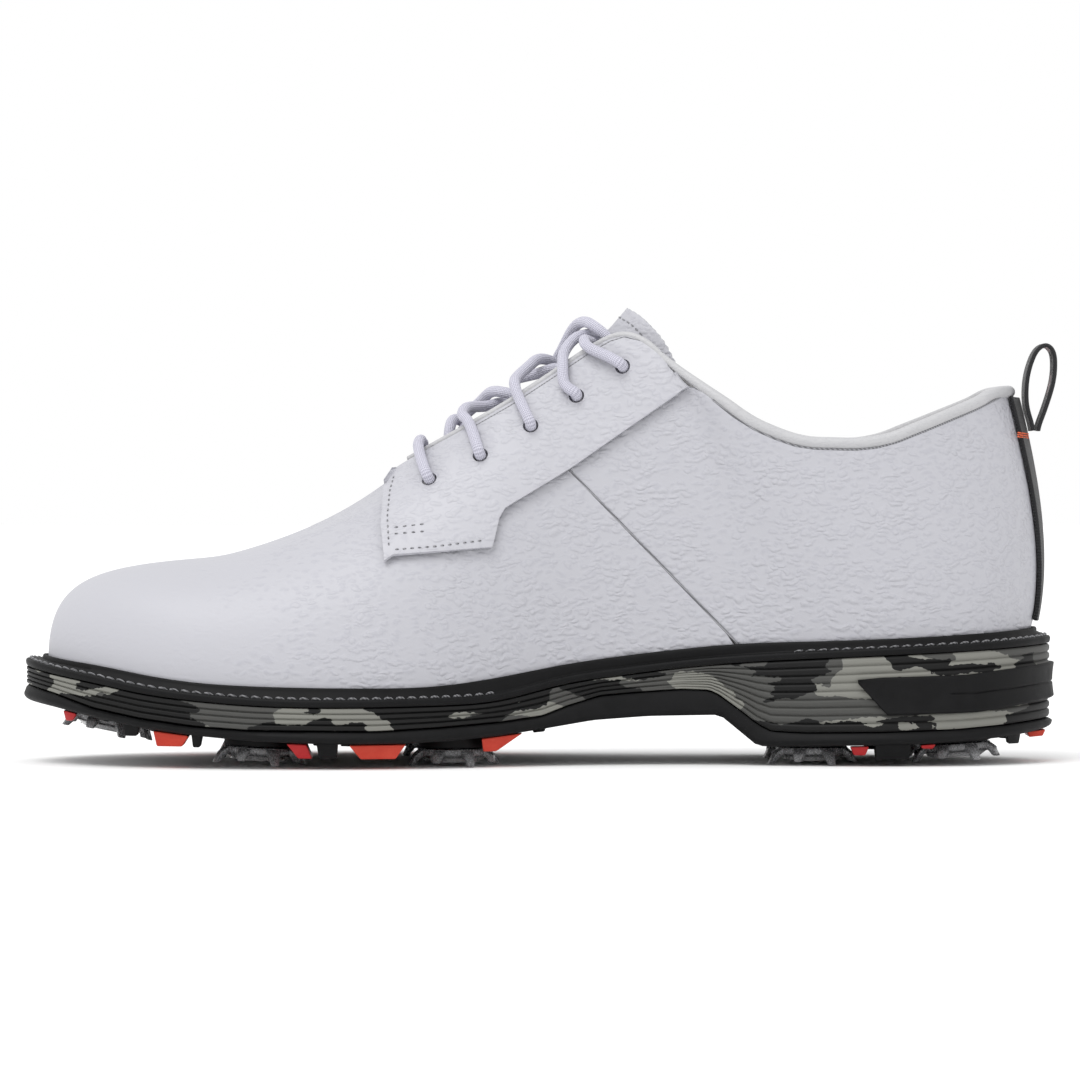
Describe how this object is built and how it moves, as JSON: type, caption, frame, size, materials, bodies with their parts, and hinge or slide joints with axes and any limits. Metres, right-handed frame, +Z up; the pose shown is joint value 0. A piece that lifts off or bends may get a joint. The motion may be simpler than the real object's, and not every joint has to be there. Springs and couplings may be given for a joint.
{
  "type": "golf shoe",
  "caption": "Laced golf shoe for the right foot: leather upper on a welted sole with twist-in soft cleats.",
  "frame": {"origin": "middle of the box round the shoe, on the ground that the cleats stand on", "axes": "+X from toe to heel, +Y towards the outer (lateral) side, +Z up"},
  "size_m": [0.3065, 0.1112, 0.1343],
  "materials": {
    "white_leather": "tumbled full-grain leather, satin",
    "lining": "smooth lining leather, matte",
    "stiffener": "pressed fibre board",
    "cork": "ground cork",
    "spring_steel": "rolled",
    "black_webbing": "woven",
    "lace": "braided cotton",
    "black_rubber": "moulded, matte",
    "thread": "waxed thread",
    "grey_midsole": "moulded, mottled greys",
    "smoked_plastic": "translucent, smoky",
    "black_plastic": "moulded",
    "red_rubber": "moulded, satin"
  },
  "bodies": {
    "shoe": {"vamp": "white_leather", "quarter_medial": "white_leather", "quarter_lateral": "white_leather", "facing_medial": "white_leather", "facing_lateral": "white_leather", "collar_binding": "white_leather", "vamp_lining": "lining", "quarter_lining": "lining", "footbed": "lining", "toe_puff": "stiffener", "heel_counter": "stiffener", "insole_board": "stiffener", "cork_filler": "cork", "shank": "spring_steel", "heel_strip": "black_webbing", "shoelace": "lace", "welt": "black_rubber", "welt_stitching": "thread", "midsole": "grey_midsole", "outsole": "black_rubber", "heel_panel": "black_rubber", "receptacle_toe": "black_plastic", "receptacle_ball_medial": "black_plastic", "receptacle_ball_lateral": "black_plastic", "receptacle_arch_medial": "black_plastic", "receptacle_arch_lateral": "black_plastic", "receptacle_heel_front_medial": "black_plastic", "receptacle_heel_front_lateral": "black_plastic", "receptacle_heel_back_medial": "black_plastic", "receptacle_heel_back_lateral": "black_plastic", "lug_tip_medial": "red_rubber", "lug_tip_lateral": "red_rubber", "lug_toe_medial": "red_rubber", "lug_toe_lateral": "red_rubber", "lug_mid_medial": "red_rubber", "lug_mid_lateral": "red_rubber", "lug_ball_medial": "red_rubber", "lug_ball_lateral": "red_rubber", "lug_arch_medial": "red_rubber", "lug_arch_lateral": "red_rubber", "lug_heel_medial": "red_rubber", "lug_heel_lateral": "red_rubber", "lug_rear_medial": "red_rubber", "lug_rear_lateral": "red_rubber", "lug_back": "red_rubber"},
    "tongue": {"tongue": "white_leather"},
    "pull_loop": {"pull_loop": "black_webbing"},
    "cleat_toe": {"cleat_toe": "smoked_plastic"},
    "cleat_ball_medial": {"cleat_ball_medial": "smoked_plastic"},
    "cleat_ball_lateral": {"cleat_ball_lateral": "smoked_plastic"},
    "cleat_arch_medial": {"cleat_arch_medial": "smoked_plastic"},
    "cleat_arch_lateral": {"cleat_arch_lateral": "smoked_plastic"},
    "cleat_heel_front_medial": {"cleat_heel_front_medial": "smoked_plastic"},
    "cleat_heel_front_lateral": {"cleat_heel_front_lateral": "smoked_plastic"},
    "cleat_heel_back_medial": {"cleat_heel_back_medial": "smoked_plastic"},
    "cleat_heel_back_lateral": {"cleat_heel_back_lateral": "smoked_plastic"}
  },
  "joints": [
    {"name": "tongue_flex", "type": "hinge", "parent": "shoe", "child": "tongue", "pos_m": [-0.0525, -0.00314, 0.0735], "axis": [0, 1, 0], "range_deg": [0, 8], "stiffness_Nm_per_rad": 0.3},
    {"name": "pull_loop_flex", "type": "hinge", "parent": "shoe", "child": "pull_loop", "pos_m": [0.1468, 0.00086, 0.0984], "axis": [0, 1, 0], "range_deg": [-2, 45], "stiffness_Nm_per_rad": 0.02},
    {"name": "cleat_toe_turn", "type": "hinge", "parent": "shoe", "child": "cleat_toe", "pos_m": [-0.1275, -0.00564, 0.0136], "axis": [0.2011, 0, 0.9796], "range_deg": [0, 90]},
    {"name": "cleat_ball_medial_turn", "type": "hinge", "parent": "shoe", "child": "cleat_ball_medial", "pos_m": [-0.082, -0.03264, 0.00595], "axis": [0.0523, 0, 0.9986], "range_deg": [0, 90]},
    {"name": "cleat_ball_lateral_turn", "type": "hinge", "parent": "shoe", "child": "cleat_ball_lateral", "pos_m": [-0.0835, 0.03036, 0.00595], "axis": [0.0523, 0, 0.9986], "range_deg": [0, 90]},
    {"name": "cleat_arch_medial_turn", "type": "hinge", "parent": "shoe", "child": "cleat_arch_medial", "pos_m": [-0.0255, -0.02664, 0.0052], "axis": [0, 0, 1], "range_deg": [0, 90]},
    {"name": "cleat_arch_lateral_turn", "type": "hinge", "parent": "shoe", "child": "cleat_arch_lateral", "pos_m": [-0.0285, 0.03136, 0.0052], "axis": [0, 0, 1], "range_deg": [0, 90]},
    {"name": "cleat_heel_front_medial_turn", "type": "hinge", "parent": "shoe", "child": "cleat_heel_front_medial", "pos_m": [0.0801, -0.01714, 0.0052], "axis": [0, 0, 1], "range_deg": [0, 90]},
    {"name": "cleat_heel_front_lateral_turn", "type": "hinge", "parent": "shoe", "child": "cleat_heel_front_lateral", "pos_m": [0.0801, 0.02036, 0.0052], "axis": [0, 0, 1], "range_deg": [0, 90]},
    {"name": "cleat_heel_back_medial_turn", "type": "hinge", "parent": "shoe", "child": "cleat_heel_back_medial", "pos_m": [0.1221, -0.01714, 0.0064], "axis": [-0.061, 0, 0.9981], "range_deg": [0, 90]},
    {"name": "cleat_heel_back_lateral_turn", "type": "hinge", "parent": "shoe", "child": "cleat_heel_back_lateral", "pos_m": [0.1221, 0.01786, 0.0064], "axis": [-0.061, 0, 0.9981], "range_deg": [0, 90]}
  ]
}
